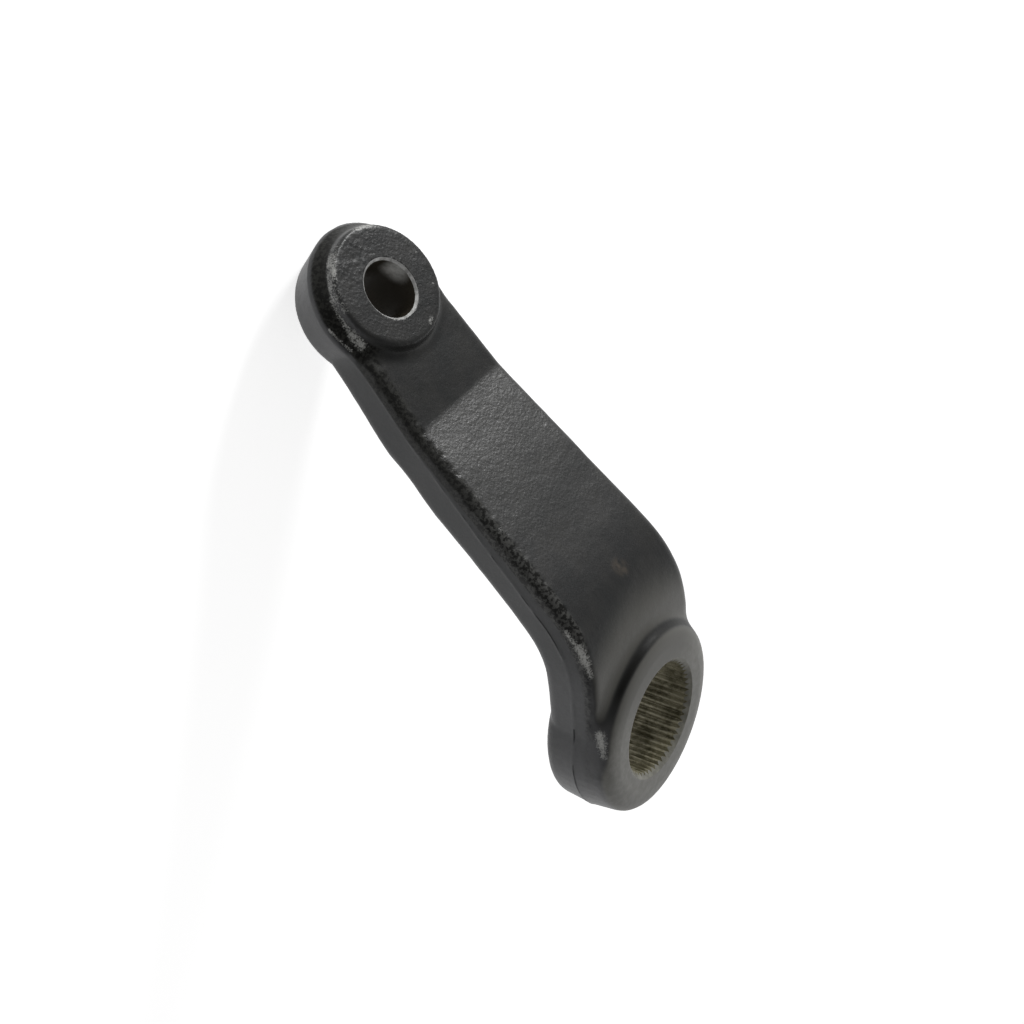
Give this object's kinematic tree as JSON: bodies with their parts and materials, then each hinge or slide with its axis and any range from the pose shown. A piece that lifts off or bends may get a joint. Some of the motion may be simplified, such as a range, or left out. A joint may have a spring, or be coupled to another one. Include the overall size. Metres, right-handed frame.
{
  "type": "steering drop arm (pitman arm)",
  "caption": "Forged and painted steel drop arm with a serrated shaft bore at its hub and a tapered ball-stud hole at its tilted eye.",
  "frame": {"origin": "on the serrated bore's axis, level with the hub's upper face", "axes": "+Z along the bore's axis, out of the hub's upper face; +X towards the eye; the arm drops towards -Z and is mirrored in Y"},
  "size_m": [0.1605, 0.0562, 0.0962],
  "materials": {
    "painted_forging": "satin black paint over shot-blasted forging"
  },
  "bodies": {
    "root": {"pitman_arm": "painted_forging"}
  },
  "joints": []
}
